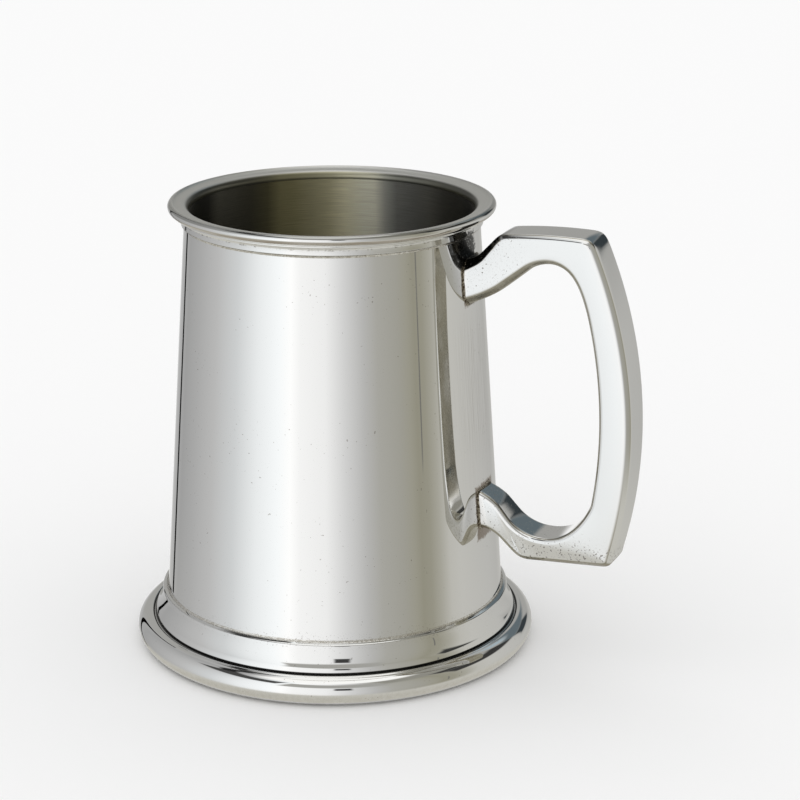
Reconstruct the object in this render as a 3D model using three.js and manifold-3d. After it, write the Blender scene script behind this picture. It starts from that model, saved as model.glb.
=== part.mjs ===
// A one-pint pewter tankard: a tapered drum with a cast mouth ring, a moulded foot ring,
// a soldered-in floor and a cast, square-shouldered handle. Everything is held by soft solder,
// so nothing moves. Millimetres, +Z up, standing on z = 0, handle towards +X.
// The frame's origin is the middle of the footprint, so the drum's axis stands at x = AXIS_X.

import * as THREE from "three";
import { mergeVertices } from "three/addons/utils/BufferGeometryUtils.js";
import Module from "manifold-3d";

const wasm = await Module();
wasm.setup();

// ---- driving dimensions ----
const SEGMENTS = 72; // facets round every turned piece
const SOLDER_FILM = 0.05; // clearance between turned pieces that are soldered together
const CUT_GAP = 0.3; // clearance round a piece that is shaped to its neighbour

const DRUM = {
  footZ: 11, // lower end, seated in the foot ring
  topZ: 119.4, // upper end, under the mouth ring's ledge
  footRadius: 46.31, // outside
  topRadius: 39.15, // outside
  wall: 1.3,
};

const RIM = {
  beadRadius: 1.2, // half-round edge of the lip
  beadR: 42.27, // centre of the bead's section, from the axis
  beadZ: 121.06,
  collarRadius: 40.1, // plain band under the lip
  collarTopZ: 118.02,
  beadUnderDeg: -62, // where the bead's section starts, below its outermost point
  collarFootZ: 116.62,
  throatRadius: 1.9, // rounding from the lip into the bore
};

const FOOT = {
  rollRadius: 3.763, // half-round roll that stands on the table
  rollR: 50.8, // centre of the roll's section, from the axis
  grooveR: 49.62, // upright side of the sharp groove above the roll
  grooveZ: 7.05, // its bottom
  grooveWidth: 0.43,
  flareR: 49, // bend in the flaring band
  flareZ: 9.4,
  bandR: 48.15, // where the flare turns upright
  bandZ: 11.1,
  edgeR: 47.55, // top edge of the band
  edgeZ: 14.1,
  shoulderZ: 15.2, // where the shoulder meets the drum
  socketRadius: 46.5, // bore that takes the drum's lower end
  ledgeInnerR: 43.6, // ledge under the drum's end
  ledgeThickness: 2,
  wall: 2.2,
};

const FLOOR = { topZ: 14, thickness: 1.6 };

const HANDLE = {
  reach: 85.8, // outermost point, from the drum's axis
  reachZ: 66.4,
  backRadius: 124, // outer curve of the grip
  gripReach: 77, // innermost face of the grip, from the drum's axis
  gripZ: 68.5,
  gripRadius: 123, // inner curve of the grip
  rootR: 36, // the casting's outline starts inside the drum, then is cut to it
  flatWidth: 10.4,
  chamfer: 1.2,
  upperRootZ: [97.6, 109], // lower and upper edge of the upper arm at the root
  lowerRootZ: [36.6, 49.9], // lower and upper edge of the lower arm at the root
};

const SOLDER = {
  bead: 0.6, // leg of the fillets under the mouth ring and round the floor
  fillet: 1, // how far the collars at the handle's ends stand out
  reach: 6, // how far above and below an arm its collar may spread
};

const FOOT_RADIUS = FOOT.rollR + FOOT.rollRadius;
const AXIS_X = (FOOT_RADIUS - HANDLE.reach) / 2;

// ---- materials ----
const pewter = (color, roughness) =>
  new THREE.MeshStandardMaterial({ color, roughness, metalness: 1 });
const POLISHED = () => pewter(0xcfcfca, 0.12);
const SATIN = () => pewter(0xa9a99f, 0.4);
const CAST = () => pewter(0xd2d2cd, 0.2);
const SOLDERED = () => pewter(0x8f8674, 0.45);

// ---- helpers ----
const drumRadius = (z) =>
  THREE.MathUtils.mapLinear(z, DRUM.footZ, DRUM.topZ, DRUM.footRadius, DRUM.topRadius);

// Points of an arc in a section plane, angles in degrees from the outward direction.
function arc(centreR, centreZ, radius, fromDeg, toDeg, steps) {
  return Array.from({ length: steps + 1 }, (_, i) => {
    const a = THREE.MathUtils.degToRad(THREE.MathUtils.lerp(fromDeg, toDeg, i / steps));
    return [centreR + radius * Math.cos(a), centreZ + radius * Math.sin(a)];
  });
}

// Revolves a closed section, given as [radius, height] counter-clockwise, about the drum's axis.
function turned(section) {
  const ring = [...section, section[0]].map(([r, z]) => new THREE.Vector2(r, z));
  return new THREE.LatheGeometry(ring, SEGMENTS).rotateX(Math.PI / 2);
}

// The same for a solid that reaches the axis: its section starts and ends there.
function turnedSolid(section) {
  const outline = section.map(([r, z]) => new THREE.Vector2(r, z));
  return new THREE.LatheGeometry(outline, SEGMENTS).rotateX(Math.PI / 2);
}

function toSolid(geometry) {
  const bare = geometry.clone();
  bare.deleteAttribute("normal");
  bare.deleteAttribute("uv");
  const merged = mergeVertices(bare, 1e-4);
  return new wasm.Manifold(
    new wasm.Mesh({
      numProp: 3,
      vertProperties: merged.attributes.position.array,
      triVerts: new Uint32Array(merged.index.array),
    }),
  );
}

function toGeometry(solid) {
  const { vertProperties, triVerts } = solid.getMesh();
  return new THREE.BufferGeometry()
    .setAttribute("position", new THREE.BufferAttribute(vertProperties, 3))
    .setIndex(new THREE.BufferAttribute(triVerts, 1));
}

function part(name, geometry, material) {
  const mesh = new THREE.Mesh(geometry, material);
  mesh.name = name;
  return mesh;
}

// ---- turned pieces ----
function drum() {
  return turned([
    [DRUM.footRadius, DRUM.footZ],
    [DRUM.topRadius, DRUM.topZ],
    [DRUM.topRadius - DRUM.wall, DRUM.topZ],
    [DRUM.footRadius - DRUM.wall, DRUM.footZ],
  ]);
}

// Lip with a half-round edge, a stepped underside and a plain collar that slips over the drum.
function mouthRing() {
  const bore = DRUM.topRadius - DRUM.wall;
  const lipZ = RIM.beadZ + RIM.beadRadius;
  const ledgeZ = DRUM.topZ + SOLDER_FILM;
  return turned([
    [drumRadius(RIM.collarFootZ) + SOLDER_FILM, RIM.collarFootZ],
    [RIM.collarRadius, RIM.collarFootZ],
    [RIM.collarRadius - 0.05, RIM.collarTopZ],
    [RIM.collarRadius + 0.8, RIM.collarTopZ + 0.8],
    [RIM.collarRadius + 1.25, RIM.collarTopZ + 1.2],
    ...arc(RIM.beadR, RIM.beadZ, RIM.beadRadius, RIM.beadUnderDeg, 90, 8),
    ...arc(bore + RIM.throatRadius, lipZ - RIM.throatRadius - 0.4, RIM.throatRadius, 90, 180, 5),
    [bore, ledgeZ],
    [drumRadius(ledgeZ) + SOLDER_FILM, ledgeZ],
  ]);
}

// Shoulder, flaring band, groove and roll outside; socket, ledge and open hollow inside.
function footRing() {
  const ledgeFootZ = DRUM.footZ - FOOT.ledgeThickness;
  return turned([
    [FOOT.rollR - FOOT.wall, 0],
    ...arc(FOOT.rollR, FOOT.rollRadius, FOOT.rollRadius, -90, 95, 14),
    [FOOT.grooveR + FOOT.grooveWidth, FOOT.grooveZ],
    [FOOT.grooveR, FOOT.grooveZ + 0.15],
    [FOOT.grooveR, FOOT.grooveZ + 0.8],
    [FOOT.grooveR - 0.15, FOOT.grooveZ + 1.7],
    [FOOT.flareR, FOOT.flareZ],
    [FOOT.flareR - 0.5, FOOT.flareZ + 0.8],
    [FOOT.bandR, FOOT.bandZ],
    [FOOT.edgeR + 0.2, FOOT.bandZ + 1.3],
    [FOOT.edgeR, FOOT.edgeZ],
    [FOOT.edgeR - 0.45, FOOT.edgeZ + 0.6],
    [FOOT.socketRadius, FOOT.shoulderZ - 0.4],
    [FOOT.socketRadius, DRUM.footZ - SOLDER_FILM],
    [FOOT.ledgeInnerR, DRUM.footZ - SOLDER_FILM],
    [FOOT.ledgeInnerR, ledgeFootZ],
    [FOOT.edgeR - FOOT.wall, ledgeFootZ - 0.6],
  ]);
}

// The loose floor plate, soldered inside the drum above the ledge.
function floorDisc() {
  const footZ = FLOOR.topZ - FLOOR.thickness;
  const edge = (z) => drumRadius(z) - DRUM.wall - SOLDER_FILM;
  return turnedSolid([
    [0, footZ],
    [edge(footZ), footZ],
    [edge(FLOOR.topZ), FLOOR.topZ],
    [0, FLOOR.topZ],
  ]);
}

// Solder that fills the corner under the mouth ring's collar.
function rimSolder() {
  const topZ = RIM.collarFootZ - SOLDER_FILM;
  const footZ = topZ - SOLDER.bead;
  return turned([
    [drumRadius(footZ) + SOLDER_FILM, footZ],
    [drumRadius(footZ) + 2.5 * SOLDER_FILM, footZ],
    [RIM.collarRadius - 0.1, topZ],
    [drumRadius(topZ) + SOLDER_FILM, topZ],
  ]);
}

// Solder that fills the socket between the drum and the foot ring, with a small fillet on top.
function footSolder() {
  const socketZ = FOOT.shoulderZ - 0.4;
  const inner = (z) => drumRadius(z) + SOLDER_FILM;
  const outer = FOOT.socketRadius - SOLDER_FILM;
  return turned([
    [inner(DRUM.footZ + SOLDER_FILM), DRUM.footZ + SOLDER_FILM],
    [outer, DRUM.footZ + SOLDER_FILM],
    [outer, socketZ],
    [inner(FOOT.shoulderZ) + 0.15, FOOT.shoulderZ],
    [inner(FOOT.shoulderZ), FOOT.shoulderZ],
  ]);
}

// Fillet of solder in the corner between the floor and the drum, inside.
function floorSolder() {
  const footZ = FLOOR.topZ + SOLDER_FILM;
  const topZ = footZ + SOLDER.bead;
  const wallR = (z) => drumRadius(z) - DRUM.wall - SOLDER_FILM;
  return turned([
    [wallR(footZ) - SOLDER.bead, footZ],
    [wallR(footZ), footZ],
    [wallR(topZ), topZ],
  ]);
}

// ---- handle ----
// Side outline of the casting: x is the distance from the drum's axis, y the height.
function handleOutline() {
  const back = (z) => onCurve(HANDLE.reach, HANDLE.reachZ, HANDLE.backRadius, z);
  const grip = (z) => onCurve(HANDLE.gripReach, HANDLE.gripZ, HANDLE.gripRadius, z);
  const [upperFootZ, upperTopZ] = HANDLE.upperRootZ;
  const [lowerFootZ, lowerTopZ] = HANDLE.lowerRootZ;
  const s = new THREE.Shape();
  // underside of the lower arm, flat foot and rounded outer corner
  s.moveTo(HANDLE.rootR, lowerFootZ);
  s.lineTo(44.5, 37.4);
  s.quadraticCurveTo(47.6, 37.2, 50.2, 34.8);
  s.lineTo(53.4, 31.9);
  s.quadraticCurveTo(55.2, 30.2, 57.6, 30.2);
  s.lineTo(79, 31.5);
  s.quadraticCurveTo(81.6, 31.7, back(33.8), 33.8);
  // outer curve of the grip, up to the square shoulder
  curveTo(s, back, 33.8, 116.8, 12);
  s.quadraticCurveTo(back(119), 119, 72.2, 119.1);
  s.quadraticCurveTo(61.5, 119.6, 50.4, 118.4);
  // top of the upper arm, down to the drum
  s.quadraticCurveTo(49.1, 118.3, 47.7, 116.8);
  s.lineTo(44, 112.9);
  s.quadraticCurveTo(42.2, 110.8, HANDLE.rootR, upperTopZ);
  s.lineTo(HANDLE.rootR, upperFootZ);
  // inside of the loop: underside of the upper arm, grip, top of the lower arm
  s.quadraticCurveTo(43.5, 99.2, 49.5, 103.3);
  s.lineTo(57.2, 109.6);
  s.quadraticCurveTo(60, 111.6, 63.2, 111.6);
  s.quadraticCurveTo(70, 111.4, grip(99), 99);
  curveTo(s, grip, 99, 51, 8);
  s.bezierCurveTo(74.6, 44.2, 69.5, 37.2, 61.8, 37.2);
  s.quadraticCurveTo(56.2, 37.2, 52.6, 40.8);
  s.lineTo(49.6, 44.2);
  s.quadraticCurveTo(46.4, 47.6, HANDLE.rootR, lowerTopZ);
  return s;
}

// Distance from the axis at height z of an upright arc that bulges to `reach` at `reachZ`.
function onCurve(reach, reachZ, radius, z) {
  return reach - radius + Math.sqrt(radius ** 2 - (z - reachZ) ** 2);
}

function curveTo(shape, curve, fromZ, toZ, steps) {
  for (let i = 1; i <= steps; i += 1) {
    const z = THREE.MathUtils.lerp(fromZ, toZ, i / steps);
    shape.lineTo(curve(z), z);
  }
}

// The outline given its thickness, with chamfered edges; `grow` swells it on every side.
function handleBlank(grow) {
  const geometry = new THREE.ExtrudeGeometry(handleOutline(), {
    depth: HANDLE.flatWidth + 2 * grow,
    curveSegments: 5,
    bevelThickness: HANDLE.chamfer,
    bevelSize: HANDLE.chamfer,
    bevelOffset: grow - HANDLE.chamfer,
    bevelSegments: 1,
  });
  geometry.translate(0, 0, -HANDLE.flatWidth / 2 - grow);
  return toSolid(geometry.rotateX(Math.PI / 2));
}

// A cone round the drum's axis that stands `outside` beyond the drum's surface, and past both its ends.
function drumCone(outside, footZ = 0, topZ = DRUM.topZ + DRUM.footZ) {
  return toSolid(
    turnedSolid([
      [0, footZ],
      [drumRadius(footZ) + outside, footZ],
      [drumRadius(topZ) + outside, topZ],
      [0, topZ],
    ]),
  );
}

function handle() {
  return toGeometry(handleBlank(0).subtract(drumCone(CUT_GAP)));
}

// The collar of solder round the end of one arm, against the drum.
function armSolder([rootFootZ, rootTopZ]) {
  const skin = drumCone(SOLDER.fillet, rootFootZ - SOLDER.reach, rootTopZ + SOLDER.reach);
  const collar = handleBlank(SOLDER.fillet).intersect(skin);
  return toGeometry(collar.subtract(handleBlank(CUT_GAP)).subtract(drumCone(CUT_GAP)));
}

// ---- assembly ----
const tankard = new THREE.Group();
tankard.position.x = AXIS_X;
tankard.add(
  part("drum", drum(), POLISHED()),
  part("mouth_ring", mouthRing(), POLISHED()),
  part("foot_ring", footRing(), POLISHED()),
  part("floor_disc", floorDisc(), SATIN()),
  part("handle", handle(), CAST()),
  part("rim_solder_seam", rimSolder(), SOLDERED()),
  part("foot_solder_seam", footSolder(), SOLDERED()),
  part("floor_solder_seam", floorSolder(), SOLDERED()),
  part("upper_handle_solder", armSolder(HANDLE.upperRootZ), SOLDERED()),
  part("lower_handle_solder", armSolder(HANDLE.lowerRootZ), SOLDERED()),
);

export default tankard;
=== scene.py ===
"""Looks of a one-pint pewter tankard: polished drum, turned mouth and foot rings, satin inside,
cast square-shouldered handle, tarnished solder. Lengths are millimetres about the drum's axis and
become metres in the frame when a mesh is made."""

import math
import random

import bmesh
import bpy
import numpy as np
from mathutils import Euler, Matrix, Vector


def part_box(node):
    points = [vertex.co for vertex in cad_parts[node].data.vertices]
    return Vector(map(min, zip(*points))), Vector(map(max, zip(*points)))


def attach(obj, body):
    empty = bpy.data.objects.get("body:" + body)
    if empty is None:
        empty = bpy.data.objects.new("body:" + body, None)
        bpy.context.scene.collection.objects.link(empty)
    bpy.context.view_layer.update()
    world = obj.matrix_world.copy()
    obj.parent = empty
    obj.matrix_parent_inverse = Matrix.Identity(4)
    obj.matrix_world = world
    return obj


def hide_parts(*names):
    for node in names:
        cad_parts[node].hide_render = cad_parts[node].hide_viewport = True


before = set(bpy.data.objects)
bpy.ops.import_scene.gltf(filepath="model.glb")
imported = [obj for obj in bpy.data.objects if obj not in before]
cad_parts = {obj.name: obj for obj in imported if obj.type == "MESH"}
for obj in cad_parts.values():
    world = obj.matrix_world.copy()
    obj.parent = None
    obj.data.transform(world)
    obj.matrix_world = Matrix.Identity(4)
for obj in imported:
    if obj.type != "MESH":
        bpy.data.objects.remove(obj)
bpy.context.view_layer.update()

# ---- sizes, in millimetres, taken from the frame ----
MM = 0.001


def cad_box(node):
    low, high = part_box(node)
    return np.array(low) / MM, np.array(high) / MM


drum_low, drum_high = cad_box("drum")
rim_low, rim_high = cad_box("mouth_ring")
foot_low, foot_high = cad_box("foot_ring")
floor_low, floor_high = cad_box("floor_disc")
handle_high = cad_box("handle")[1]

AXIS_X = (drum_low[0] + drum_high[0]) / 2
DRUM_FOOT_Z, DRUM_TOP_Z = drum_low[2], drum_high[2]
DRUM_FOOT_R = (drum_high[0] - drum_low[0]) / 2
TAPER = 0.0661  # loss of radius per millimetre of height
WALL = 1.3
BORE_TOP_R = DRUM_FOOT_R - TAPER * (DRUM_TOP_Z - DRUM_FOOT_Z) - WALL
FLOOR_Z, FLOOR_THICKNESS = floor_high[2], floor_high[2] - floor_low[2]
FILM = 0.05  # solder film between pieces that are soldered together

BEAD_RADIUS = 1.2  # half-round edge of the lip
BEAD_R = (rim_high[0] - rim_low[0]) / 2 - BEAD_RADIUS
BEAD_Z = rim_high[2] - BEAD_RADIUS
COLLAR_FOOT_Z = rim_low[2]
COLLAR_TOP_Z = COLLAR_FOOT_Z + 1.4
COLLAR_R = 40.1

ROLL_RADIUS = 3.763  # half-round roll of the foot
ROLL_R = (foot_high[0] - foot_low[0]) / 2 - ROLL_RADIUS
SHOULDER_Z = 15.2
SOCKET_R = 46.5

CROWN = 0.06  # how far the broad faces of the handle swell in their middle
HANDLE_REACH = handle_high[0] - AXIS_X - CROWN
HANDLE_HALF_WIDTH = handle_high[1] - CROWN
HANDLE_AZIMUTH = math.radians(24)  # between the handle and the camera's right


def drum_radius(z):
    return DRUM_FOOT_R - TAPER * (z - DRUM_FOOT_Z)


# ---- section and mesh helpers ----
SHARP_ANGLE = math.radians(38)  # edges that turn by more than this are shaded sharp
SAME_POINT, NO_LENGTH = 1e-7, 1e-8  # metres


def arc(centre_r, centre_z, radius, start, stop, count):
    """Points of an arc in a section; angles in degrees from the outward direction."""
    turn = np.radians(np.linspace(start, stop, count))
    return [(centre_r + radius * math.cos(a), centre_z + radius * math.sin(a)) for a in turn]


def curve(start, control, end, count=8):
    """Points of a quadratic curve, without its start."""
    t = np.linspace(0, 1, count + 1)[1:, None]
    start, control, end = (np.array(p, float) for p in (start, control, end))
    return [tuple(p) for p in (1 - t) ** 2 * start + 2 * t * (1 - t) * control + t**2 * end]


def rounded(corners, radii, count=5):
    """A closed section from its corners, each eased by its own radius."""
    points = []
    for i, (corner, radius) in enumerate(zip(corners, radii)):
        here = np.array(corner, float)
        before = np.array(corners[i - 1], float) - here
        after = np.array(corners[(i + 1) % len(corners)], float) - here
        if not radius:
            points.append(tuple(here))
            continue
        a = here + before / np.linalg.norm(before) * radius
        b = here + after / np.linalg.norm(after) * radius
        points += [tuple(a)] + curve(a, here, b, count)
    return points


def refined(section, step):
    """The closed section with long stretches divided, so that shading and wobble follow it."""
    points = []
    for (r0, z0), (r1, z1) in zip(section, section[1:] + section[:1]):
        pieces = max(1, int(math.hypot(r1 - r0, z1 - z0) / step))
        points += [(r0 + (r1 - r0) * k / pieces, z0 + (z1 - z0) * k / pieces) for k in range(pieces)]
    return points


def grid_faces(rows, columns, closed=True):
    """Quads of a grid of points whose columns run round; its rows do too, unless closed is false."""
    i, j = np.meshgrid(np.arange(rows if closed else rows - 1), np.arange(columns), indexing="ij")
    next_i, next_j = (i + 1) % rows, (j + 1) % columns
    corners = [i * columns + j, next_i * columns + j, next_i * columns + next_j, i * columns + next_j]
    return np.stack(corners, -1).reshape(-1, 4)


def make_object(name, points, faces):
    """A mesh object from points in millimetres about the drum's axis."""
    placed = (np.asarray(points, float) + (AXIS_X, 0, 0)) * MM
    mesh = bpy.data.meshes.new(name)
    mesh.from_pydata(placed.tolist(), [], [list(map(int, f)) for f in faces])
    bm = bmesh.new()
    bm.from_mesh(mesh)
    bmesh.ops.remove_doubles(bm, verts=bm.verts, dist=SAME_POINT)
    bmesh.ops.dissolve_degenerate(bm, edges=bm.edges, dist=NO_LENGTH)
    bmesh.ops.recalc_face_normals(bm, faces=bm.faces)
    bm.to_mesh(mesh)
    bm.free()
    mesh.shade_smooth()
    mesh.set_sharp_from_angle(angle=SHARP_ANGLE)
    piece = bpy.data.objects.new(name, mesh)
    bpy.context.scene.collection.objects.link(piece)
    return piece


def lathe(name, section, segments=360, wobble=None):
    """Turns a closed counter-clockwise section about the drum's axis.
    wobble(radius) gives a small radial change, for what hand work leaves."""
    radius, height = np.array(section).T
    azimuth = np.linspace(0, 2 * math.pi, segments, endpoint=False)[:, None]
    r = np.broadcast_to(radius, (segments, len(radius))).copy()
    if wobble:
        r += wobble(r)
    points = np.stack([r * np.cos(azimuth), r * np.sin(azimuth), np.broadcast_to(height, r.shape)], -1)
    return make_object(name, points.reshape(-1, 3), grid_faces(segments, len(radius)))


# ---- turned pieces ----
LATHE_STEP = 1.5  # longest stretch of a plain section
LIP_DISH = 0.65  # how far the lip's flat is sunk below its bead
THROAT = 1.9  # radius of the rounding from the lip into the bore

GROOVE_R, GROOVE_LOW_Z, GROOVE_HIGH_Z = 49.62, 7.05, 7.85
FLARE_R, FLARE_Z = 49.0, 9.4  # where the flare above the groove changes from bulging to hollow
BAND_R, BAND_Z = 48.15, 11.1
EDGE_R, EDGE_Z = 47.55, 14.1  # top of the band
SHOULDER_START = (47.1, 14.75)
HOLLOW_R, HOLLOW_LOW_R = 43.6, 45.6  # inside of the ring, at the ledge and below it


def drum_section():
    outside = [(DRUM_FOOT_R, DRUM_FOOT_Z), (drum_radius(DRUM_TOP_Z), DRUM_TOP_Z)]
    inside = [(r - WALL, z) for r, z in reversed(outside)]
    return refined(outside + inside, LATHE_STEP)


def mouth_section():
    """Collar, turned flank, half-round bead, dished lip and the rounding into the bore."""
    lip_z = BEAD_Z + BEAD_RADIUS
    lip_in = (BORE_TOP_R + THROAT, lip_z - LIP_DISH)
    ledge_z = DRUM_TOP_Z + FILM
    flank = COLLAR_TOP_Z
    collar_in = (drum_radius(COLLAR_FOOT_Z) + FILM, COLLAR_FOOT_Z)
    collar = rounded([collar_in, (COLLAR_R, COLLAR_FOOT_Z), (COLLAR_R - 0.05, flank)], [0, 0.15, 0])
    step = curve(collar[-1], (COLLAR_R - 0.02, flank + 0.45), (COLLAR_R + 0.8, flank + 0.8), 8)
    step += arc(COLLAR_R + 0.95, flank + 1.05, 0.3, -80, 30, 10)
    cove = curve(step[-1], (COLLAR_R + 1.45, flank + 1.6), (BEAD_R + 0.5, BEAD_Z - 1.15), 10)
    bead = arc(BEAD_R, BEAD_Z, BEAD_RADIUS, -62, 92, 30)
    lip = curve(bead[-1], (lip_in[0] + 1.8, lip_in[1]), lip_in, 10)
    bore = arc(lip_in[0], lip_z - THROAT - LIP_DISH, THROAT, 90, 180, 14)
    wall_end = [(BORE_TOP_R, ledge_z), (drum_radius(ledge_z) + FILM, ledge_z)]
    return collar + step + cove + bead + lip + bore + wall_end


def foot_section():
    """Shoulder, flaring band, sharp groove and roll outside; socket, ledge and hollow inside."""
    roll = arc(ROLL_R, ROLL_RADIUS, ROLL_RADIUS, -90, 90, 48)
    groove = [(50.45, ROLL_RADIUS * 2 - 0.06), (50.05, GROOVE_LOW_Z), (GROOVE_R + 0.02, 7.2)]
    groove += [(GROOVE_R, GROOVE_HIGH_Z)]
    flare = curve(groove[-1], (49.52, 8.75), (FLARE_R, FLARE_Z), 10)
    flare += curve((FLARE_R, FLARE_Z), (48.5, 10.15), (BAND_R, BAND_Z), 10)
    band = curve((BAND_R, BAND_Z), (47.62, 12.6), (EDGE_R, EDGE_Z), 12)
    edge = curve((EDGE_R, EDGE_Z), (47.5, 14.62), SHOULDER_START, 6)
    shoulder = curve(SHOULDER_START, (46.7, 14.85), (SOCKET_R, SHOULDER_Z - 0.3), 6)
    ledge_z = DRUM_FOOT_Z - FILM
    inside = [(SOCKET_R, ledge_z), (HOLLOW_R, ledge_z)]
    inside += [(HOLLOW_R, DRUM_FOOT_Z - 2), (HOLLOW_LOW_R, DRUM_FOOT_Z - 2.6)]
    return [(ROLL_R - 2.2, 0)] + roll + groove + flare + band + edge + shoulder + inside


def turned_pieces():
    drum = lathe("drum_wall", drum_section())
    mouth = lathe("mouth_ring_lip", mouth_section())
    foot = lathe("foot_ring_moulding", foot_section(), 480)
    edge_r = drum_radius(FLOOR_Z) - WALL - FILM
    under_z = FLOOR_Z - FLOOR_THICKNESS
    plate = [(0, under_z), (edge_r, under_z), (edge_r, FLOOR_Z), (0, FLOOR_Z)]
    floor_plate = lathe("floor_plate", refined(plate, LATHE_STEP))
    return drum, mouth, foot, floor_plate


# ---- handle ----
class Outline:
    """One side of the handle's outline, drawn from the lower joint to the upper one.
    station() marks a place that pairs with the same mark on the other side."""

    def __init__(self, start):
        self.spans = [[start]]

    def line(self, end):
        self.spans[-1] += curve(self.spans[-1][-1], self.spans[-1][-1], end, 6)
        return self

    def bend(self, control, end):
        self.spans[-1] += curve(self.spans[-1][-1], control, end, 16)
        return self

    def follow(self, points):
        self.spans[-1] += points
        return self

    def station(self):
        self.spans.append([self.spans[-1][-1]])
        return self

    def resampled(self, counts):
        points = []
        for span, count in zip(self.spans, counts):
            p = np.array(span, float)
            length = np.concatenate([[0], np.cumsum(np.linalg.norm(np.diff(p, axis=0), axis=1))])
            at = np.linspace(0, length[-1], count + 1)[:-1]
            points.append(np.stack([np.interp(at, length, p[:, k]) for k in (0, 1)], -1))
        return np.concatenate(points + [[self.spans[-1][-1]]])


def upright_arc(reach, reach_z, radius, heights):
    """Points, at the given heights, of an arc that reaches furthest out at reach_z."""
    return [(reach - radius + math.sqrt(radius**2 - (z - reach_z) ** 2), z) for z in heights]


BACK_Z, BACK_RADIUS = 66.4, 124
GRIP_REACH, GRIP_Z, GRIP_RADIUS = 77, 68.5, 123


def back(heights):
    """The handle's back, furthest from the drum."""
    return upright_arc(HANDLE_REACH, BACK_Z, BACK_RADIUS, heights)


def grip(heights):
    """The side of the upright that the fingers close on."""
    return upright_arc(GRIP_REACH, GRIP_Z, GRIP_RADIUS, heights)


OUTLINE_EASE, STATION_EASE = 1.1, 4.0  # in stations
SPAN_COUNTS = [26, 14, 30, 20, 40, 50, 24, 20, 16, 26]
ROOT_R = 36  # the arms are drawn from inside the drum and cut where they meet it


def handle_outlines():
    outer = Outline((ROOT_R, 36.6)).line((44.5, 37.4)).bend((47.6, 37.2), (50.2, 34.8)).station()
    outer.line((53.4, 31.9)).bend((55.2, 30.2), (57.6, 30.2)).station()
    outer.line((79.0, 31.5)).station()
    outer.bend((81.6, 31.7), back([33.8])[0]).follow(back(np.linspace(34.8, 42, 8))).station()
    outer.follow(back(np.linspace(43, 68, 14))).station()
    outer.follow(back(np.linspace(70, 100, 16))).station()
    outer.follow(back(np.linspace(101, 116.8, 12))).bend(back([119.2])[0], (72.2, 119.1)).station()
    outer.bend((61.5, 119.6), (50.4, 118.4)).station()
    outer.bend((49.1, 118.3), (47.7, 116.8)).line((44, 112.9)).station()
    outer.bend((42.2, 110.8), (ROOT_R, 109))
    inner = Outline((ROOT_R, 49.9)).bend((46.4, 47.6), (49.6, 44.2)).station()
    inner.line((52.6, 40.8)).station()
    inner.bend((56.2, 37.2), (61.8, 37.2)).bend((65.4, 37.2), (68.3, 39.0)).station()
    inner.bend((72.6, 41.8), grip([48])[0]).station()
    inner.follow(grip(np.linspace(49, 69, 12))).station()
    inner.follow(grip(np.linspace(70, 96, 14))).station()
    inner.follow(grip([97, 98, 99])).bend((70.5, 108.6), (66.8, 110.6)).station()
    inner.bend((65, 111.6), (63.2, 111.6)).bend((60, 111.6), (57.2, 109.6)).station()
    inner.line((49.5, 103.3)).station()
    inner.bend((43.5, 99.2), (ROOT_R, 97.6))
    return outer.resampled(SPAN_COUNTS), inner.resampled(SPAN_COUNTS)


def eased(points, sigma):
    """Softens an open outline, as casting and hand finishing do; its ends stay."""
    reach = int(3 * sigma)
    weight = np.exp(-0.5 * (np.arange(-reach, reach + 1) / sigma) ** 2)
    weight /= weight.sum()
    first, last = points[0], points[-1]
    before, after = 2 * first - points[reach:0:-1], 2 * last - points[-2 : -reach - 2 : -1]
    padded = np.concatenate([before, points, after])
    return np.stack([np.convolve(padded[:, k], weight, "valid") for k in (0, 1)], -1)


def inward(points, side):
    """Unit normals of an outline, into the casting."""
    tangent = np.gradient(points, axis=0)
    normal = np.stack([-tangent[:, 1], tangent[:, 0]], -1) * side
    return normal / np.linalg.norm(normal, axis=1)[:, None]


def soft_chamfer(size, ease):
    """Steps from one face round a chamfered edge to the next, for each station along the handle:
    (inset from the first face, inset from the second). Both of the chamfer's own edges are eased."""
    size = np.asarray(size, float)[:, None, None]
    from_face = np.array([0.0, 1.0])
    to_face = np.array([1.0, 0.0])
    slope = (to_face - from_face) / math.sqrt(2)
    t = np.linspace(0, 1, 6)[:, None]
    first, last = from_face * size, to_face * size
    entering = (1 - t) ** 2 * (first + from_face * ease) + 2 * t * (1 - t) * first
    entering = entering + t**2 * (first + slope * ease)
    leaving = (1 - t) ** 2 * (last - slope * ease) + 2 * t * (1 - t) * last
    leaving = leaving + t**2 * (last + to_face * ease)
    return np.concatenate([entering, (first + last) / 2, leaving], axis=1)


def along_stations(values):
    """A smooth run of values from one value at each station mark."""
    marks = np.concatenate([[0], np.cumsum(SPAN_COUNTS)])
    run = np.interp(np.arange(marks[-1] + 1), marks, values)
    return eased(np.stack([run, run], -1), STATION_EASE)[:, 0]


#                 root, bend, foot, corner, back..., top corner, plateau, slant, root
HALF_WIDTH_SHARE = [0.76, 0.80, 0.86, 1.00, 1.00, 1.0, 1.0, 1.0, 1.0, 1.0, 1.0]
OUTER_CHAMFER = [1.0, 1.1, 1.2, 1.3, 1.3, 1.3, 1.2, 1.1, 1.1, 1.9, 2.4]
INNER_CHAMFER = [0.8, 0.8, 0.8, 0.8, 0.9, 0.9, 0.9, 1.0, 1.4, 1.7, 1.9]
EDGE_EASE = 0.5
EMBED = 0.12  # how far the ends go into the drum's wall


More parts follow.
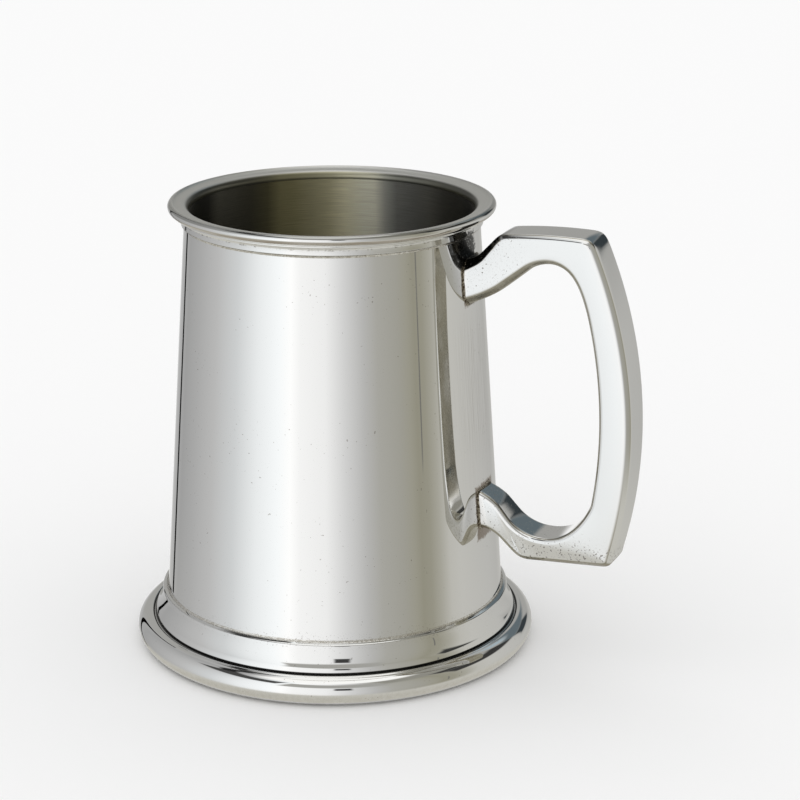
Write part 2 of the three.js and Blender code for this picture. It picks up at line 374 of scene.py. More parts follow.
def handle_rings():
    """Sections of the handle along its length: points[station, place round the section, xyz]."""
    outer, inner = handle_outlines()
    outer, inner = eased(outer, OUTLINE_EASE), eased(inner, OUTLINE_EASE)
    outer_in, inner_in = inward(outer, 1), inward(inner, -1)
    half = along_stations(HALF_WIDTH_SHARE) * HANDLE_HALF_WIDTH
    outer_edge = soft_chamfer(along_stations(OUTER_CHAMFER), EDGE_EASE)
    inner_edge = soft_chamfer(along_stations(INNER_CHAMFER), EDGE_EASE)

    def laid(base, normal, inset, v):
        xz = base[:, None, :] + normal[:, None, :] * inset[..., None]
        return np.stack([xz[..., 0], np.broadcast_to(v, xz.shape[:2]), xz[..., 1]], -1)

    def face(base, normal, edge):
        across = np.linspace(-1, 1, 13)[1:-1]
        return laid(base, normal, -CROWN * (1 - across**2), (half[:, None] - edge[:, :1, 1]) * across)

    def corner(base, normal, edge):
        return laid(base, normal, edge[..., 0], half[:, None] - edge[..., 1])

    def side():
        share = np.linspace(0, 1, 17)[1:-1]
        start = (outer + outer_in * outer_edge[:, -1, :1])[:, None, :]
        stop = (inner + inner_in * inner_edge[:, -1, :1])[:, None, :]
        xz = start * (1 - share[:, None]) + stop * share[:, None]
        v = half[:, None] + CROWN * 4 * share * (1 - share)
        return np.stack([xz[..., 0], v, xz[..., 1]], -1)

    mirrored = np.array([1, -1, 1])
    outer_corner, inner_corner = corner(outer, outer_in, outer_edge), corner(inner, inner_in, inner_edge)
    far = np.concatenate([outer_corner, side(), inner_corner[:, ::-1]], 1)
    outer_face, inner_face = face(outer, outer_in, outer_edge), face(inner, inner_in, inner_edge)
    return np.concatenate([outer_face, far, inner_face[:, ::-1], far[:, ::-1] * mirrored], axis=1)


def cut_to_drum(rings, span):
    """Moves the first span of every lengthwise line so that it starts just inside the drum's wall."""
    for k in range(rings.shape[1]):
        line = rings[: span + 1, k]
        depth = np.hypot(line[:, 0], line[:, 1]) - (drum_radius(line[:, 2]) - EMBED)
        outside = np.argmax(depth > 0)
        share = -depth[outside - 1] / (depth[outside] - depth[outside - 1])
        start = outside - 1 + share
        at = np.linspace(start, span, span + 1)
        moved = [np.interp(at, np.arange(span + 1), line[:, c]) for c in range(3)]
        rings[: span + 1, k] = np.stack(moved, -1)


def handle_piece():
    rings = handle_rings()
    cut_to_drum(rings, SPAN_COUNTS[0])
    cut_to_drum(rings[::-1], SPAN_COUNTS[-1])
    rows, n, _ = rings.shape
    caps = [list(range(n)), list(range((rows - 1) * n, rows * n))]
    faces = grid_faces(rows, n, closed=False).tolist() + caps
    return make_object("handle_casting", rings.reshape(-1, 3), faces), rings


# ---- solder ----
SKIN = 0.01  # keeps solder off the faces that it meets
FULL_TURN = 6.28


def ripple(count, seed, waves=9):
    """A closed run of `count` numbers near 1 that wanders a little, as a hand-run seam does."""
    rng = random.Random(seed)
    turn = np.linspace(0, 2 * math.pi, count, endpoint=False)
    total = np.ones(count)
    for wave in range(2, 2 + waves):
        size = 0.16 / math.sqrt(wave) * math.cos(rng.random() * FULL_TURN)
        total += size * np.cos(wave * turn + rng.random() * FULL_TURN)
    return total


SEAM_SWING = 0.05


def seam(name, section, seed):
    """A turned seam whose outer edge wanders."""
    run = ripple(360, seed, 40)[:, None]

    def wander(radius):
        return SEAM_SWING * (run - 1) * (radius > radius.min())

    return lathe(name, section, wobble=wander)


def on_wall(z):
    """Radius just off the drum's outside, where its solder starts."""
    return drum_radius(z) + SKIN


def in_bore(z):
    return drum_radius(z) - WALL - SKIN


def solder_seams():
    """The three runs of solder: under the collar, in the foot's socket, and round the floor."""
    under = COLLAR_FOOT_Z - FILM
    rim = [(on_wall(under - 0.7), under - 0.7), (on_wall(under - 0.6) + 0.06, under - 0.6)]
    rim += curve(rim[-1], (on_wall(under) + 0.12, under - 0.15), (COLLAR_R - 0.08, under), 6)
    rim += [(on_wall(under), under)]
    top, socket = SHOULDER_Z + 0.25, SOCKET_R - FILM
    foot_run = [(on_wall(DRUM_FOOT_Z), DRUM_FOOT_Z), (socket, DRUM_FOOT_Z), (socket, SHOULDER_Z - 0.35)]
    foot_run += curve(foot_run[-1], (on_wall(top) + 0.1, SHOULDER_Z - 0.2), (on_wall(top) + 0.02, top), 6)
    foot_run += [(on_wall(top), top)]
    z, leg = FLOOR_Z + SKIN, 0.9
    floor_run = [(in_bore(z) - leg, z), (in_bore(z), z), (in_bore(z + leg), z + leg)]
    floor_run += curve(floor_run[-1], (in_bore(z) - 0.2, z + 0.2), (in_bore(z) - leg, z + 0.05), 6)
    return seam("rim_seam", rim, 3), seam("foot_seam", foot_run, 5), seam("floor_seam", floor_run, 7)


COLLAR_LEG = 0.55  # how far a fillet spreads along the arm and the drum


def solder_collar(name, rings, seed):
    """Fillet of solder round one end of the handle; rings[0] lies on the drum, the rest lead away."""
    root, next_ring = rings[0], rings[4]
    count = len(root)
    along = next_ring - root
    along /= np.linalg.norm(along, axis=1)[:, None]
    outward = np.stack([root[:, 0], root[:, 1], np.hypot(root[:, 0], root[:, 1]) * TAPER], -1)
    outward /= np.linalg.norm(outward, axis=1)[:, None]
    round_root = np.roll(root, -2, 0) - np.roll(root, 2, 0)
    away = np.cross(outward, round_root)
    away /= np.linalg.norm(away, axis=1)[:, None]
    away *= np.sign(np.sum(away * (root - root.mean(0)), axis=1))[:, None]
    size = COLLAR_LEG * ripple(count, seed)[:, None]
    up_arm = root + along * (size + 0.15) + away * 0.03
    on_drum = root + away * size + outward * 0.17
    heel = root + outward * 0.1 - away * 0.12
    corner = root + outward * 0.2 + away * 0.1
    section = [heel, root + along * (size + 0.15) - away * 0.12, up_arm]
    for t in np.linspace(0, 1, 7)[1:-1]:
        section.append((1 - t) ** 2 * up_arm + 2 * t * (1 - t) * corner + t**2 * on_drum)
    section += [on_drum, root + away * size + outward * 0.02]
    tube = np.stack(section, 1)
    return make_object(name, tube.reshape(-1, 3), grid_faces(count, tube.shape[1]))


drum, mouth, foot, floor_plate = turned_pieces()
handle, rings_mm = handle_piece()
rim_seam, foot_seam, floor_seam = solder_seams()
lower_collar = solder_collar("lower_handle_fillet", rings_mm, 11)
upper_collar = solder_collar("upper_handle_fillet", rings_mm[::-1], 13)


# ---- shader helpers ----
class Graph:
    """Builds a node tree; node inputs may be given as numbers, colours or other nodes' sockets."""

    def __init__(self, tree):
        self.tree = tree
        tree.nodes.clear()

    def node(self, kind, inputs=None, **settings):
        made = self.tree.nodes.new("ShaderNode" + kind)
        for name, value in settings.items():
            setattr(made, name, value)
        for name, value in (inputs or {}).items():
            socket = made.inputs[name]
            if isinstance(value, bpy.types.NodeSocket):
                self.tree.links.new(value, socket)
            else:
                socket.default_value = value
        return made

    def math(self, operation, a, b=0.0):
        return self.node("Math", {0: a, 1: b}, operation=operation).outputs[0]

    def largest(self, *values):
        found = values[0]
        for value in values[1:]:
            found = self.math("MAXIMUM", found, value)
        return found

    def ramp(self, value, low, high, to_low=0.0, to_high=1.0, smooth=True):
        kind = "SMOOTHSTEP" if smooth else "LINEAR"
        inputs = {"Value": value, "From Min": low, "From Max": high, "To Min": to_low, "To Max": to_high}
        return self.node("MapRange", inputs, interpolation_type=kind).outputs["Result"]

    def mix(self, factor, a, b, blend="MIX"):
        mixed = self.node("Mix", data_type="RGBA", blend_type=blend)
        for place, value in ((0, factor), (6, a), (7, b)):
            if isinstance(value, bpy.types.NodeSocket):
                self.tree.links.new(value, mixed.inputs[place])
            else:
                mixed.inputs[place].default_value = value
        return mixed.outputs[2]

    def noise(self, vector, scale, detail=3.0, roughness=0.5):
        inputs = {"Vector": vector, "Scale": scale, "Detail": detail, "Roughness": roughness}
        return self.node("TexNoise", inputs).outputs[0]


def grey(value, warmth=0.0):
    """A light grey in linear light; warmth above zero leans to olive, below to teal."""
    red, green = (0.10, 0.06) if warmth > 0 else (0.25, 0.0)
    return (value * (1 + red * warmth), value * (1 + green * warmth), value * (1 - 0.14 * warmth), 1)


# ---- studio, seen only in reflections; azimuth 0 is towards the camera, positive to its right ----
# azimuth, brightness and warmth round the tankard. The first values were read off a script's
# print-out of the photograph's brightness on the drum and rounded; later ones were moved by hand.
BELT = [
    (-180, 0.95, 0), (-170, 0.95, 0), (-163, 0.50, 0), (-152, 0.42, 0), (-138, 0.36, 0), (-118, 0.42, 0),
    (-96, 0.51, 0), (-75, 0.66, -0.1), (-56, 0.89, -0.1), (-40, 1.02, -0.1), (-31, 1.07, 0), (-24, 0.97, 0),
    (-6, 0.90, 0), (8, 0.67, 0), (22, 0.48, 0.1), (32, 0.39, 0.4), (48, 0.34, 0.6), (56, 0.31, 0.9),
    (62, 0.27, 1.1), (69, 0.29, 1), (77, 0.37, 0.7), (86, 0.49, 0.4), (96, 0.52, 0.3), (132, 0.48, 0.2),
    (150, 0.44, 0.2), (168, 0.50, 0.2), (176, 0.95, 0), (180, 0.95, 0),
]
# centre azimuth, centre elevation, half width, half height, softness, brightness, warmth
PANELS = [
    (0, -62, 181, 38, 8, 0.55, 0.4),  # table round the tankard
    (-166, -52, 14, 18, 6, 0.6, 0),  # table running back, left
    (172, -52, 12, 18, 6, 0.6, 0),  # and right
    (180, 22, 48, 22, 8, 0.36, 0.2),  # behind
    (-180, 22, 30, 22, 8, 0.36, 0.2),
    (92, 60, 60, 14, 8, 0.26, 0.6),  # gap between the bank overhead and the right wall
    (-2, 46, 34, 12, 3, 0.36, 0.3),  # gap over the window in front
    (-78, 54, 36, 8, 2.5, 0.06, 0.1),  # gap over the left bank
    (-130, 58.5, 20, 3, 1.2, 0.02, 0),
    (104, 33, 30, 9, 3, 0.04, 0.2),  # dark studio over the right wall
    (86, 46, 14, 5, 3, 0.04, 0.2),
    (150, 27, 18, 7, 3, 0.15, -0.8),  # bluish dark in the far right corner
    (150, 38, 8, 4, 2.5, 0.45, -0.7),
    (141, 12, 9, 8, 2, 0.045, -0.8),
    (0, 82, 181, 14, 4, 1.0, 0.1),  # bank overhead
    (65, -3, 0.35, 9.5, 0.5, 0.12, 0),  # post in the window on the right
    (4, 22, 5, 7, 1.5, 0.05, 0),  # camera
    (-148.2, 6, 1.9, 32, 0.3, 0.0, 0),  # edge of the left bank; from behind, a line down the drum
]


def ring_of_tones(g, degrees, stops):
    """A colour that follows the stops (degrees, brightness, warmth) from -180 to 180."""
    tones = g.node("ValToRGB", {"Fac": g.ramp(degrees, -180, 180, smooth=False)})
    elements = tones.color_ramp.elements
    elements.remove(elements[1])
    for index, (at, value, warmth) in enumerate(stops):
        element = elements.new((at + 180) / 360) if index else elements[0]
        element.color = grey(value, warmth)
    return tones.outputs["Color"]


def studio():
    world = bpy.data.worlds.new("studio")
    world.use_nodes = True
    bpy.context.scene.world = world
    g = Graph(world.node_tree)
    direction = g.node("TexCoord").outputs["Generated"]
    turned = g.node("VectorRotate", {"Vector": direction, "Angle": -HANDLE_AZIMUTH}, rotation_type="Z_AXIS")
    part = g.node("SeparateXYZ", {0: turned.outputs[0]}).outputs
    toward = g.math("MULTIPLY", part["Y"], -1.0)
    azimuth = g.math("DEGREES", g.math("ARCTAN2", part["X"], toward))
    elevation = g.math("DEGREES", g.math("ARCSINE", part["Z"]))
    color = ring_of_tones(g, azimuth, BELT)
    for azimuth_0, elevation_0, half_width, half_height, softness, value, warmth in PANELS:
        across = g.math("ABSOLUTE", g.math("SUBTRACT", azimuth, azimuth_0))
        across = g.math("SUBTRACT", across, half_width)
        up = g.math("ABSOLUTE", g.math("SUBTRACT", elevation, elevation_0))
        up = g.math("SUBTRACT", up, half_height)
        mask = g.ramp(g.math("MAXIMUM", across, up), softness, -softness)
        color = g.mix(mask, color, grey(value, warmth))
    seen = g.node("LightPath").outputs["Is Glossy Ray"]
    color = g.mix(seen, (1, 1, 1, 1), color)
    background = g.node("Background", {"Color": color, "Strength": 1.0})
    g.node("OutputWorld", {"Surface": background.outputs[0]})


# ---- materials ----
def metal(name):
    material = bpy.data.materials.new(name)
    material.use_nodes = True
    return material, Graph(material.node_tree)


def finish_metal(g, color, roughness, normal, **more):
    inputs = {"Base Color": color, "Metallic": 1.0, "Roughness": roughness, "Normal": normal, **more}
    surface = g.node("BsdfPrincipled", inputs)
    g.node("OutputMaterial", {"Surface": surface.outputs[0]})


def place(g):
    """Object coordinates in millimetres about the drum's axis: x, y, z, azimuth and the vector."""
    coords = g.node("TexCoord").outputs["Object"]
    scaled = g.node("VectorMath", {0: coords, "Scale": 1 / MM}, operation="SCALE").outputs[0]
    moved = g.node("VectorMath", {0: scaled, 1: (-AXIS_X, 0, 0)}, operation="ADD").outputs[0]
    part = g.node("SeparateXYZ", {0: moved}).outputs
    azimuth = g.math("ARCTAN2", part["Y"], part["X"])
    return moved, part["X"], part["Y"], part["Z"], azimuth


def unrolled(g, azimuth, z, radius, around, upward):
    """Coordinates on the unrolled wall, stretched by the two factors."""
    length = g.math("MULTIPLY", azimuth, radius * around)
    return g.node("CombineXYZ", {0: length, 1: g.math("MULTIPLY", z, upward)}).outputs[0]


def band(g, z, low, high, ease):
    """1 between low and high, falling to 0 within ease of them."""
    return g.math("MULTIPLY", g.ramp(z, low - ease, low), g.ramp(z, high + ease, high))


def bump(g, height, distance):
    return g.node("Bump", {"Height": height, "Distance": distance * MM, "Strength": 1.0}).outputs[0]


def from_axis(g, x, y):
    """Distance from the drum's axis."""
    return g.math("SQRT", g.math("ADD", g.math("MULTIPLY", x, x), g.math("MULTIPLY", y, y)))


TARNISH = (0.13, 0.09, 0.05, 1)
# black for painted shade: corners by the handle, the foot's groove, the bottom of the foot
SHADE_BLACK = (0.012, 0.011, 0.009, 1)
WHITE = (1, 1, 1, 1)
STAIN = (0.24, 0.17, 0.11, 1)
# painted shade on the lower roll, over rougher metal
DULL_SHADED_ROLL = (0.68, 0.65, 0.59, 1)
BRIGHT_PEWTER = (0.93, 0.93, 0.92, 1)
WALL_R, BRUSHED_R = 43, 38  # radii on which streaks and brushing are unrolled
LOW_JOINT, HIGH_JOINT = (34.5, 48.5), (98.5, 108)  # heights of the stains round the handle's roots


def speckle(g, vector, scale, low, high, detail=2.0):
    return g.ramp(g.noise(vector, scale, detail, 0.6), low, high)


def crevice_shade_and_polish(g, vector):
    """Painted shade, over old polish left black, in the corner between the mouth ring and the handle's
    upper arm.
    """
    offset = g.node("VectorMath", {0: vector, 1: (41.5, -3, 112.5)}, operation="SUBTRACT").outputs[0]
    shaped = g.node("VectorMath", {0: offset, 1: (0.2, 0.16, 0.17)}, operation="MULTIPLY").outputs[0]
    distance = g.node("VectorMath", {0: shaped}, operation="LENGTH").outputs["Value"]
    ragged = g.math("ADD", distance, g.math("MULTIPLY", g.noise(vector, 0.8, 5.0, 0.7), 1.2))
    flecks = speckle(g, vector, 2.4, 0.68, 0.60)
    return g.math("MULTIPLY", g.ramp(ragged, 1.65, 1.45), flecks)


def joint_halo(g, y, z, low, high, noise):
    """Brown tarnish on the drum round the root of one arm of the handle."""
    aside = g.math("SUBTRACT", g.math("ABSOLUTE", y), 5.6)
    off_middle = g.math("ABSOLUTE", g.math("SUBTRACT", z, (low + high) / 2))
    above = g.math("SUBTRACT", off_middle, (high - low) / 2)
    near = g.math("MAXIMUM", aside, above)
    return g.ramp(g.math("ADD", near, g.math("MULTIPLY", noise, 2.4)), 2.1, 1.2)


def polished_pewter():
    """Mirror polish with upright streaks, a few pits, and tarnish that creeps out of the joints;
    painted shade in the corner by the handle's upper arm, in the foot's groove, along the foot's bottom and
    on the lower roll.
    """
    material, g = metal("polished_pewter")
    vector, x, y, z, azimuth = place(g)
    across = from_axis(g, x, y)
    streak = g.noise(unrolled(g, azimuth, z, WALL_R, 2.2, 0.05), 1.0, 4.0, 0.6)
    cloud = g.noise(vector, 0.06, 3.0, 0.6)
    mottled = g.noise(vector, 0.9, 4.0, 0.65)
    hazy = g.ramp(cloud, 0.4, 0.7, 0.02, 0.035)
    roughness = g.math("ADD", g.ramp(streak, 0.45, 0.75, 0.0, 0.03), hazy)
    pits = g.math("MULTIPLY", speckle(g, vector, 1.7, 0.80, 0.83, 0.0), g.ramp(cloud, 0.45, 0.6))
    foot_creep = band(g, z, SHOULDER_Z - 0.3, SHOULDER_Z + 0.5, 2.4)
    rim_creep = band(g, z, COLLAR_FOOT_Z - 0.4, COLLAR_FOOT_Z + 0.2, 1.2)
    creep = g.math("MAXIMUM", foot_creep, rim_creep)
    patchy = g.math("MULTIPLY", creep, g.ramp(cloud, 0.35, 0.6, 0.35, 1.0))
    specks = g.math("MULTIPLY", patchy, speckle(g, vector, 2.6, 0.59, 0.75))
    dirt = g.math("MAXIMUM", specks, g.math("MULTIPLY", pits, 0.6))
    handle_side = g.ramp(x, 30, 34)
    halo = g.largest(*(joint_halo(g, y, z, *joint, mottled) for joint in (LOW_JOINT, HIGH_JOINT)))
    smear = g.math("MULTIPLY", g.ramp(g.math("ABSOLUTE", y), 16, 2), band(g, z, 66, 82, 22))
    smear = g.math("MULTIPLY", smear, g.ramp(streak, 0.35, 0.75, 0.0, 0.3))
    stain = g.math("MULTIPLY", g.math("MAXIMUM", halo, smear), handle_side)
    color = g.mix(g.math("MULTIPLY", dirt, 0.7), BRIGHT_PEWTER, TARNISH)
    color = g.mix(g.math("MULTIPLY", stain, 0.75), color, STAIN)
    # painted shadow: a black band in the foot's groove
    groove = g.math("MULTIPLY", band(g, z, 7.2, 7.8, 0.2), g.ramp(across, 50.55, 50.4))
    # painted contact shade along the bottom of the foot
    contact_shade = g.math("MULTIPLY", g.ramp(z, 1.3, 0.4), g.ramp(mottled, 0.3, 0.6, 0.6, 0.9))
    # painted shade, beige and darker towards the bottom of the roll; the metal there is rougher too
    low_roll = g.math("MULTIPLY", g.ramp(z, 4.6, 2.4), g.ramp(mottled, 0.2, 0.8, 0.35, 0.65))
    color = g.mix(low_roll, color, DULL_SHADED_ROLL)
    # black of the painted shades: the corner by the upper arm, the groove, the foot's bottom
    black = g.largest(crevice_shade_and_polish(g, vector), groove, g.math("MULTIPLY", contact_shade, 0.8))
    color = g.mix(g.math("MULTIPLY", black, 0.95), color, SHADE_BLACK)
    # rougher over tarnish, stains, the lower roll and the places with painted black shade
    tarnished = g.largest(dirt, black, stain, low_roll)
    rough = g.math("ADD", roughness, g.math("MULTIPLY", tarnished, 0.25))
    height = g.math("SUBTRACT", g.math("MULTIPLY", streak, 0.5), pits)
    finish_metal(g, color, rough, bump(g, height, 0.0007))
    return material


# bearing round the bore from the handle, tone and warmth: painted light and shade round the bore and on the
# floor plate.
# The first values followed brightness measured along a row of the photograph, then were adjusted.
BORE_LIGHT_AND_SHADE = [
    (-180, 0.04, 0.5), (-60, 0.4, 1), (20, 0.10, 0.5), (40, 0.03, 0.5), (53, 0.07, 0.5), (61, 0.11, 0.6),
    (70, 0.22, 0.7), (78, 0.25, 0.5), (86, 0.30, 0.5), (91, 0.52, 0.6), (96, 0.98, 1), (101, 1.0, 1.1),
    (108, 0.92, 1.5), (115, 0.68, 1.9), (122, 0.52, 2.1), (130, 0.42, 2.5), (136, 0.40, 2.5),
    (142, 0.20, 2.2), (150, 0.16, 1.2), (168, 0.20, 0.8), (176, 0.05, 0.5), (180, 0.04, 0.5),
]


# painted light and shade by bearing round the axis
def bore_light_and_shade(g, azimuth):
    return ring_of_tones(g, g.math("DEGREES", azimuth), BORE_LIGHT_AND_SHADE)


def ring_pewter():
    """The mouth ring: satin on the lip and in the throat, brighter on the bead, flank and collar;
    painted shade under the bead, above the step, on the bead's outer top, in the throat and by the handle.
    """
    material, g = metal("ring_pewter")
    vector, x, y, z, azimuth = place(g)
    across = from_axis(g, x, y)
    brushed = g.noise(unrolled(g, azimuth, across, WALL_R, 0.12, 9.0), 1.0, 3.0, 0.6)
    lip = g.ramp(z, BEAD_Z + 0.3, BEAD_Z + 0.8)
    lip = g.math("MULTIPLY", lip, g.ramp(across, BEAD_R + 0.9, BEAD_R + 0.2))
    near_bore = g.ramp(across, BORE_TOP_R + 0.9, BORE_TOP_R + 0.5)
    throat = g.math("MAXIMUM", g.ramp(z, BEAD_Z - 1.5, BEAD_Z - 1.0), near_bore)
    throat = g.math("MULTIPLY", throat, g.ramp(across, BEAD_R - 0.2, BEAD_R - 0.8))
    satin = g.math("MAXIMUM", lip, throat)
    inside = g.ramp(across, BORE_TOP_R + 1.3, BORE_TOP_R + 0.6)
    inside = g.math("MULTIPLY", inside, g.ramp(z, BEAD_Z + 0.5, BEAD_Z - 0.1))
    rough = g.ramp(satin, 0, 1, 0.08, 0.34)
    worn = g.noise(unrolled(g, azimuth, z, WALL_R, 0.08, 1.4), 1.0, 3.0, 0.6)
    # painted shade: dark brown bands under the bead and above the step
    under_bead_shade = band(g, z, BEAD_Z - 1.3, BEAD_Z - 0.3, 0.2)
    over_step_shade = band(g, z, COLLAR_TOP_Z + 0.6, COLLAR_TOP_Z + 0.7, 0.15)
    shade_lines = g.math("MAXIMUM", under_bead_shade, over_step_shade)
    shade_lines = g.math("MULTIPLY", shade_lines, g.ramp(satin, 1, 0))
    dull_and_shaded = g.math("MULTIPLY", shade_lines, g.ramp(worn, 0.3, 0.7, 0.35, 0.8))
    creep = band(g, z, COLLAR_TOP_Z - 0.1, COLLAR_TOP_Z + 0.05, 0.25)
    creep = g.math("MULTIPLY", creep, speckle(g, vector, 1.1, 0.5, 0.7))
    # painted shade: a darker outer top of the bead
    outer_lip_shade = g.ramp(across, BEAD_R, BEAD_R + 0.5)
    outer_lip_shade = g.math("MULTIPLY", outer_lip_shade, g.ramp(z, BEAD_Z + 0.35, BEAD_Z + 0.6))
    color = g.mix(satin, BRIGHT_PEWTER, (0.66, 0.66, 0.63, 1))
    color = g.mix(outer_lip_shade, color, (0.52, 0.52, 0.50, 1))
    color = g.mix(dull_and_shaded, color, (0.34, 0.28, 0.20, 1))
    color = g.mix(g.math("MULTIPLY", creep, 0.5), color, TARNISH)
    # the bore's painted light and shade, carried over the throat
    color = g.mix(1, color, g.mix(inside, WHITE, bore_light_and_shade(g, azimuth)), "MULTIPLY")
    shaded = g.math("MULTIPLY", inside, g.ramp(z, BEAD_Z - 2.6, BEAD_Z - 1.4, 0.0, 0.5))
    color = g.mix(shaded, color, (0.18, 0.18, 0.15, 1))
    # painted black shade in the corner by the handle's upper arm
    color = g.mix(g.math("MULTIPLY", crevice_shade_and_polish(g, vector), 0.9), color, SHADE_BLACK)
    finish_metal(g, color, rough, bump(g, brushed, 0.003))
    return material


def satin_pewter():
    """The bore and floor: fine brushing round the axis, which draws highlights up and down, with painted
    light and shade that change with the bearing round the axis.
    """
    material, g = metal("satin_pewter")
    _, _, _, z, azimuth = place(g)
    fine = g.noise(unrolled(g, azimuth, z, BRUSHED_R, 0.10, 9.0), 1.0, 3.0, 0.6)
    coarse = g.noise(unrolled(g, azimuth, z, BRUSHED_R, 0.05, 2.0), 1.0, 2.0, 0.5)
    tangent = g.node("Tangent", direction_type="RADIAL", axis="Z").outputs[0]
    brushed = g.mix(g.ramp(fine, 0.35, 0.65), (0.76, 0.76, 0.76, 1), WHITE)
    # painted light and shade by bearing
    color = g.mix(1, brushed, bore_light_and_shade(g, azimuth), "MULTIPLY")
    rough = g.ramp(coarse, 0.3, 0.7, 0.44, 0.50)
    more = {"Anisotropic": 0.95, "Anisotropic Rotation": 0.25, "Tangent": tangent}
    finish_metal(g, color, rough, bump(g, fine, 0.006), **more)
    return material


def cast_pewter():
    """The handle: polished by hand over a cast skin that keeps pits near the joints and along the foot,
    with painted olive shade, on rougher metal, underneath, towards the drum and along the chamfers,
    and painted black shade in the corner where the upper arm meets the drum."""
    material, g = metal("cast_pewter")
    vector, x, _, z, _ = place(g)
    normal = g.node("SeparateXYZ", {0: g.node("NewGeometry").outputs["Normal"]}).outputs
    sideways = g.math("ABSOLUTE", normal["Y"])
    cloud = g.noise(vector, 0.12, 3.0, 0.6)
    skin = g.noise(vector, 1.6, 3.0, 0.6)
    worn = g.math("MAXIMUM", g.ramp(x, 62, 45), g.ramp(z, 42, 33))
    low_arm = g.math("MULTIPLY", g.ramp(z, 41, 33), g.ramp(x, 48, 56))
    threshold = g.ramp(low_arm, 0, 1, 0.69, 0.62)
    pit_depth = g.math("SUBTRACT", g.noise(vector, 1.7, 1.0, 0.5), threshold)
    pits = g.math("MULTIPLY", g.ramp(pit_depth, 0.0, 0.05), worn)
    grain = g.math("MULTIPLY", speckle(g, vector, 3.2, 0.55, 0.75), g.math("MULTIPLY", worn, 0.3))
    dirt = g.math("MAXIMUM", pits, grain)
    # painted shade, darker olive: faces turned down or towards the drum and thin strips along the chamfers,
    # also rougher
    under = g.ramp(normal["Z"], -0.2, -0.5)
    inner = g.ramp(normal["X"], -0.55, -0.8)
    edge = g.math("MULTIPLY", band(g, sideways, 0.80, 0.93, 0.05), g.ramp(normal["Z"], 0.0, -0.2))
    chamfer_shade_line = g.math("MULTIPLY", band(g, sideways, 0.45, 0.60, 0.06), g.ramp(normal["Z"], 0.45, 0.6))
    dull_and_shaded = g.largest(under, inner, edge, chamfer_shade_line)
    dull_and_shaded = g.math("MULTIPLY", dull_and_shaded, g.ramp(cloud, 0.3, 0.6, 0.75, 1.0))
    # painted black shade where the upper arm meets the drum under the mouth ring
    crook_shade = g.math("MULTIPLY", g.ramp(x, 52, 48.5), g.ramp(z, 105.5, 107.5))
    crook_shade = g.math("MULTIPLY", crook_shade, g.ramp(sideways, 0.93, 0.82))
    crook_shade = g.math("MULTIPLY", crook_shade, g.ramp(skin, 0.3, 0.5, 0.85, 1.0))
    color = g.mix(g.math("MULTIPLY", dirt, 0.75), (0.88, 0.88, 0.87, 1), (0.12, 0.09, 0.07, 1))
    color = g.mix(g.math("MULTIPLY", dull_and_shaded, 0.8), color, (0.32, 0.29, 0.20, 1))
    color = g.mix(g.math("MULTIPLY", crook_shade, 0.96), color, SHADE_BLACK)
    polish = g.ramp(cloud, 0.35, 0.65, 0.035, 0.07)
    rough = g.math("ADD", polish, g.math("MULTIPLY", g.math("MAXIMUM", dirt, dull_and_shaded), 0.2))
    height = g.math("SUBTRACT", g.math("MULTIPLY", skin, 0.3), g.math("MULTIPLY", pits, 4.0))
    finish_metal(g, color, rough, bump(g, height, 0.006))
    return material


def solder(name, dark, light):
    """Solder mottled between two tones: dark where it has tarnished, light where it was wiped."""
    material, g = metal(name)
    vector = place(g)[0]
    mottled = g.noise(vector, 1.8, 4.0, 0.65)
    color = g.mix(g.ramp(mottled, 0.40, 0.62), dark, light)
    # painted black shade in the corner by the handle's upper arm
    color = g.mix(g.math("MULTIPLY", crevice_shade_and_polish(g, vector), 0.95), color, SHADE_BLACK)
    finish_metal(g, color, g.ramp(mottled, 0.3, 0.7, 0.45, 0.15), bump(g, mottled, 0.01))
    return material


FLOOR_WIDTH = 12  # metres


def plain_floor():
    material, g = metal("pale_floor")
    surface = g.node("BsdfDiffuse", {"Color": (0.96, 0.96, 0.96, 1)})
    g.node("OutputMaterial", {"Surface": surface.outputs[0]})
    bpy.ops.mesh.primitive_plane_add(size=FLOOR_WIDTH)
    floor = bpy.context.object
    floor.name = "studio_floor"
    floor.data.materials.append(material)
    floor.visible_glossy = False


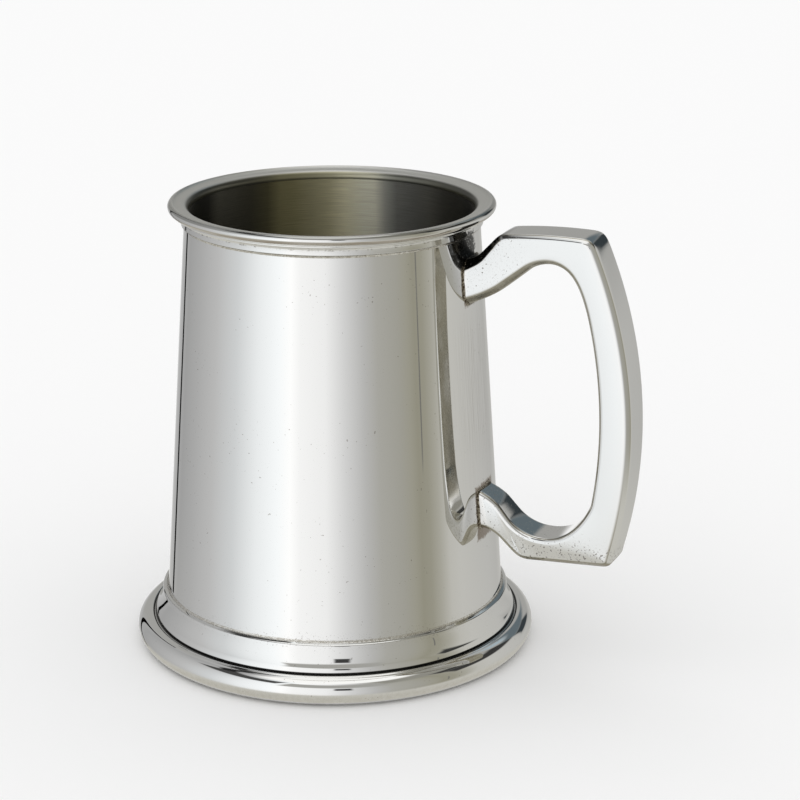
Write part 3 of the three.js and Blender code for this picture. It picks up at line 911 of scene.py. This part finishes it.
# ---- camera ----
CAMERA_DISTANCE = 631.37  # from the drum's axis
CAMERA_HEIGHT = 264.57
CAMERA_PITCH = math.radians(17.427)
CAMERA_YAW = math.radians(1.631)
CAMERA_LENS = 109.77
SENSOR_WIDTH = 36


def add_camera():
    data = bpy.data.cameras.new("camera")
    data.lens = CAMERA_LENS
    data.sensor_width = SENSOR_WIDTH
    camera = bpy.data.objects.new("camera", data)
    bpy.context.scene.collection.objects.link(camera)
    x = AXIS_X + CAMERA_DISTANCE * math.sin(HANDLE_AZIMUTH)
    y = -CAMERA_DISTANCE * math.cos(HANDLE_AZIMUTH)
    camera.location = Vector((x, y, CAMERA_HEIGHT)) * MM
    camera.rotation_euler = Euler((math.pi / 2 - CAMERA_PITCH, 0, HANDLE_AZIMUTH - CAMERA_YAW))
    bpy.context.scene.camera = camera


studio()
plain_floor()
add_camera()
bpy.context.scene.view_settings.view_transform = "Standard"

POLISHED, RING, SATIN, CAST = polished_pewter(), ring_pewter(), satin_pewter(), cast_pewter()
WIPED = solder("wiped_solder", (0.60, 0.57, 0.51, 1), (0.88, 0.87, 0.83, 1))
TARNISHED = solder("tarnished_solder", (0.07, 0.05, 0.03, 1), (0.46, 0.42, 0.34, 1))
for piece, node, slot, material in (
    (drum, "drum", "polished_pewter", POLISHED),
    (mouth, "mouth_ring", "polished_pewter", RING),
    (foot, "foot_ring", "polished_pewter", POLISHED),
    (floor_plate, "floor_disc", "satin_pewter", SATIN),
    (handle, "handle", "cast_pewter", CAST),
    (rim_seam, "rim_solder_seam", "solder", WIPED),
    (foot_seam, "foot_solder_seam", "solder", WIPED),
    (floor_seam, "floor_solder_seam", "solder", WIPED),
    (upper_collar, "upper_handle_solder", "solder", TARNISHED),
    (lower_collar, "lower_handle_solder", "solder", TARNISHED),
):
    piece.data.materials.append(material)
    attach(piece, "root")
    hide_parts(node)

drum.data.materials.append(SATIN)
SATIN_PLACE = 1  # the drum's second material, for its bore
for face in drum.data.polygons:
    outwards = face.normal.x * (face.center.x - AXIS_X * MM) + face.normal.y * face.center.y
    if outwards < 0:
        face.material_index = SATIN_PLACE
